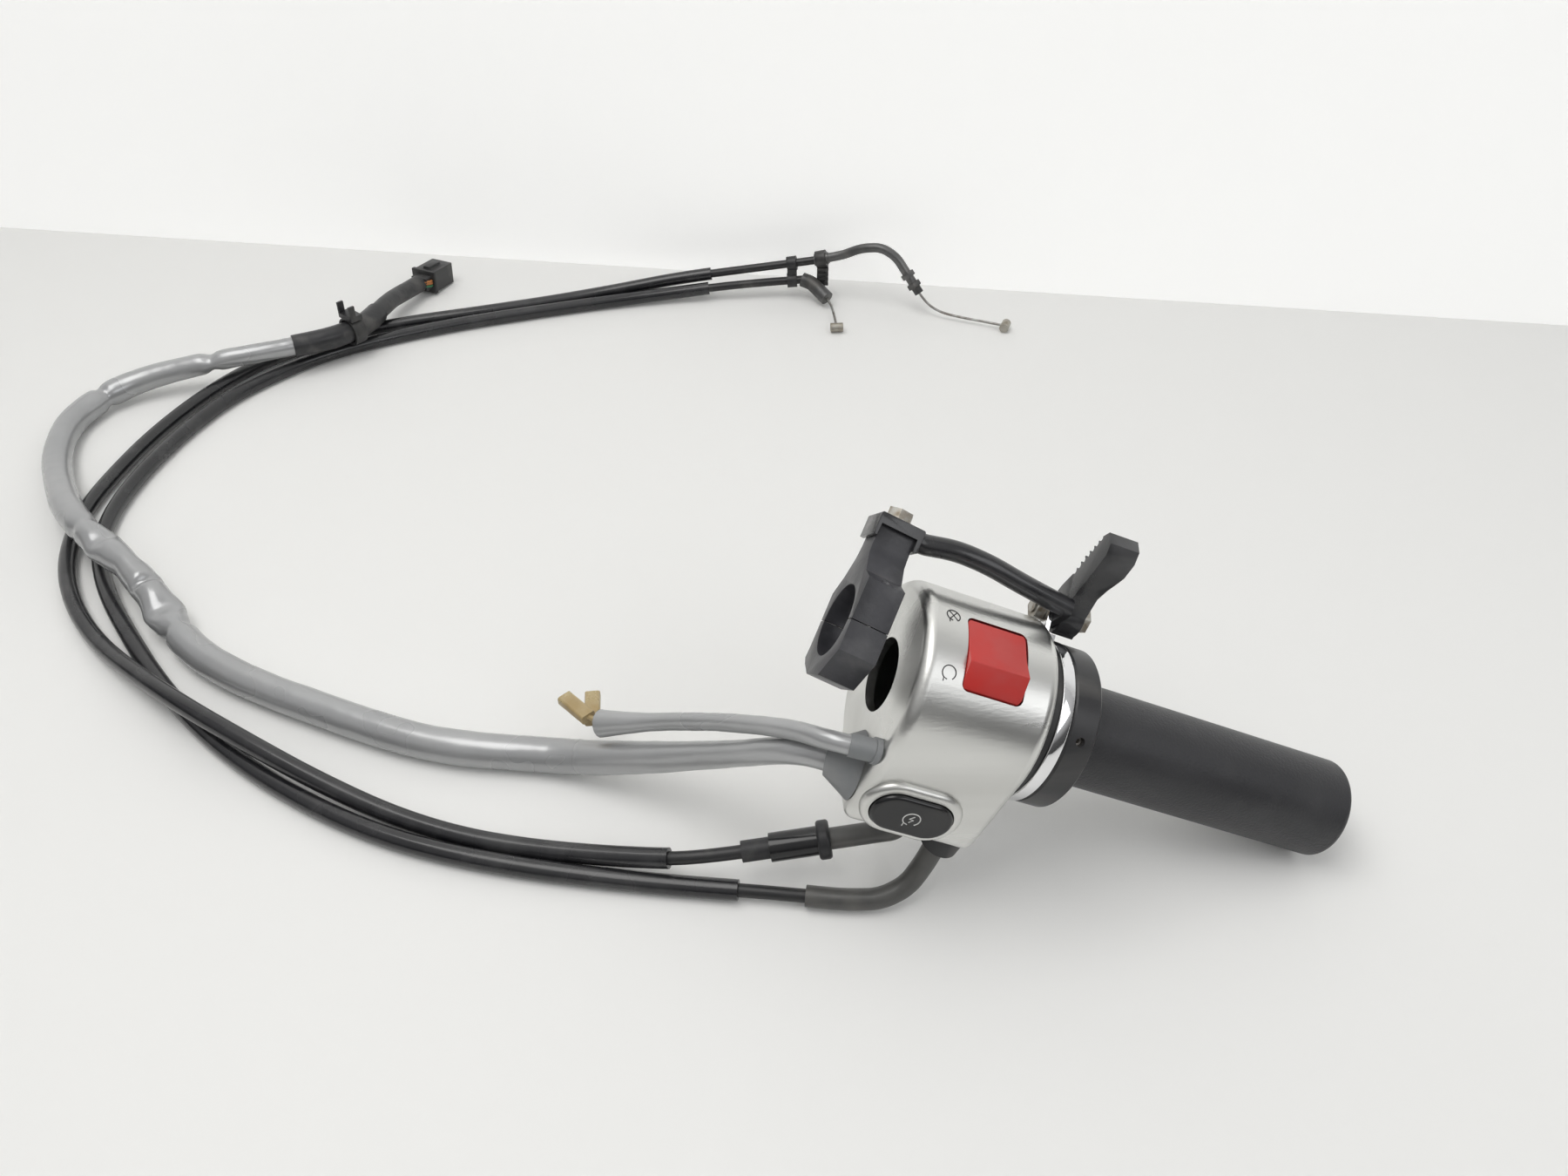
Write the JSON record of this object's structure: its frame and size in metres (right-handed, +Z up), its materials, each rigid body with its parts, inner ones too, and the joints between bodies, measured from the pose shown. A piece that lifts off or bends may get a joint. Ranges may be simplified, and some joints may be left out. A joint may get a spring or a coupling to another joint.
{
  "type": "throttle grip",
  "caption": "Twist throttle grip with polished switch housing, rocker and push switches, thumb throttle lock, stay clamp, two cables and a wiring harness.",
  "frame": {"origin": "on the table under the middle of the rigid parts' box", "axes": "+X along the table towards the grip end, +Y away from the rider, +Z up; the handlebar axis falls 22.7 degrees towards +X"},
  "size_m": [0.5891, 0.4895, 0.1331],
  "materials": {
    "polished_aluminium": "polished, with a satin grain",
    "screw_steel": "plain machined",
    "red_plastic": "moulded, semi gloss",
    "switch_plastic": "moulded, satin",
    "nylon": "moulded",
    "grip_rubber": "matt rubber with a woven texture",
    "collar_black": "black anodised",
    "chrome": "bright",
    "plated_steel": "plated, with rust spots",
    "black_aluminium": "gloss black",
    "clamp_aluminium": "gloss black, worn at the edges",
    "black_rubber": "matt",
    "pipe_paint": "semi gloss black",
    "cable_black": "extruded",
    "sleeve_grey": "soft extruded",
    "grey_rubber": "matt grey",
    "harness_pvc": "soft wrinkled sleeve",
    "tape_black": "wound tape",
    "clip_plastic": "moulded",
    "terminal_sleeve": "yellowed translucent",
    "zinc": "zinc plated",
    "wire_steel": "stranded",
    "nipple_metal": "cast, dull"
  },
  "bodies": {
    "housing": {"adjuster_body": "switch_plastic", "adjuster_flange": "black_rubber", "adjuster_tip": "black_rubber", "brake_lead": "harness_pvc", "brake_terminal_1": "terminal_sleeve", "brake_terminal_2": "terminal_sleeve", "cable_clip_1": "clip_plastic", "end_bracket": "clip_plastic", "friction_band": "chrome", "friction_liner": "nylon", "front_housing": "polished_aluminium", "harness_branch": "harness_pvc", "harness_clip": "clip_plastic", "harness_connector": "clip_plastic", "harness_grommet": "grey_rubber", "harness_main": "harness_pvc", "harness_neck": "harness_pvc", "harness_tail": "harness_pvc", "harness_tape": "tape_black", "housing_screw_1": "screw_steel", "housing_screw_2": "screw_steel", "kill_switch_base": "switch_plastic", "kill_switch_pin": "screw_steel", "lead_grommet": "grey_rubber", "lock_bolt": "plated_steel", "lock_nut": "plated_steel", "lower_cable": "cable_black", "lower_cable_sleeve": "sleeve_grey", "lower_pipe": "pipe_paint", "lower_pipe_collar": "black_rubber", "pull_end_pipe": "zinc", "pull_ferrule": "zinc", "pull_nipple": "nipple_metal", "pull_nut_1": "zinc", "pull_nut_2": "zinc", "pull_thread": "zinc", "pull_wire": "wire_steel", "rear_housing": "polished_aluminium", "return_fitting": "zinc", "return_nipple": "nipple_metal", "return_wire": "wire_steel", "start_switch_base": "switch_plastic", "upper_cable": "cable_black", "upper_cable_sleeve": "sleeve_grey", "upper_pipe": "pipe_paint", "upper_pipe_collar": "black_rubber"},
    "throttle": {"throttle_tube": "nylon", "grip_rubber": "grip_rubber", "friction_collar": "collar_black", "collar_set_screw": "screw_steel"},
    "kill_rocker": {"kill_rocker": "red_plastic"},
    "start_button": {"start_button": "switch_plastic"},
    "lock_lever": {"lock_lever": "black_aluminium"},
    "stay": {"stay_arm": "black_aluminium", "clamp_cap": "black_aluminium", "clamp_cap_bolt": "plated_steel", "clamp_upper": "clamp_aluminium", "clamp_lower": "clamp_aluminium", "clamp_screw_1": "screw_steel", "clamp_screw_2": "screw_steel"}
  },
  "joints": [
    {"name": "throttle_turn", "type": "hinge", "parent": "housing", "child": "throttle", "pos_m": [-0.0609, 0.0018, 0.0844], "axis": [0.9225, 0, -0.3859], "range_deg": [0, 75]},
    {"name": "kill_rock", "type": "hinge", "parent": "housing", "child": "kill_rocker", "pos_m": [-0.02826, -0.00872, 0.09829], "axis": [0.9225, 0, -0.3859], "range_deg": [-12, 0]},
    {"name": "start_push", "type": "slide", "parent": "housing", "child": "start_button", "axis": [0, 1, 0], "range_m": [0, 0.0025], "stiffness_N_per_m": 800, "springref_m": -0.001},
    {"name": "lock_swing", "type": "hinge", "parent": "housing", "child": "lock_lever", "pos_m": [0.00487, 0.0288, 0.08615], "axis": [0.9225, 0, -0.3859], "range_deg": [-20, 40]},
    {"name": "stay_swing", "type": "hinge", "parent": "housing", "child": "stay", "pos_m": [-0.00159, 0.0288, 0.08886], "axis": [0.9225, 0, -0.3859], "range_deg": [-60, 0]}
  ]
}
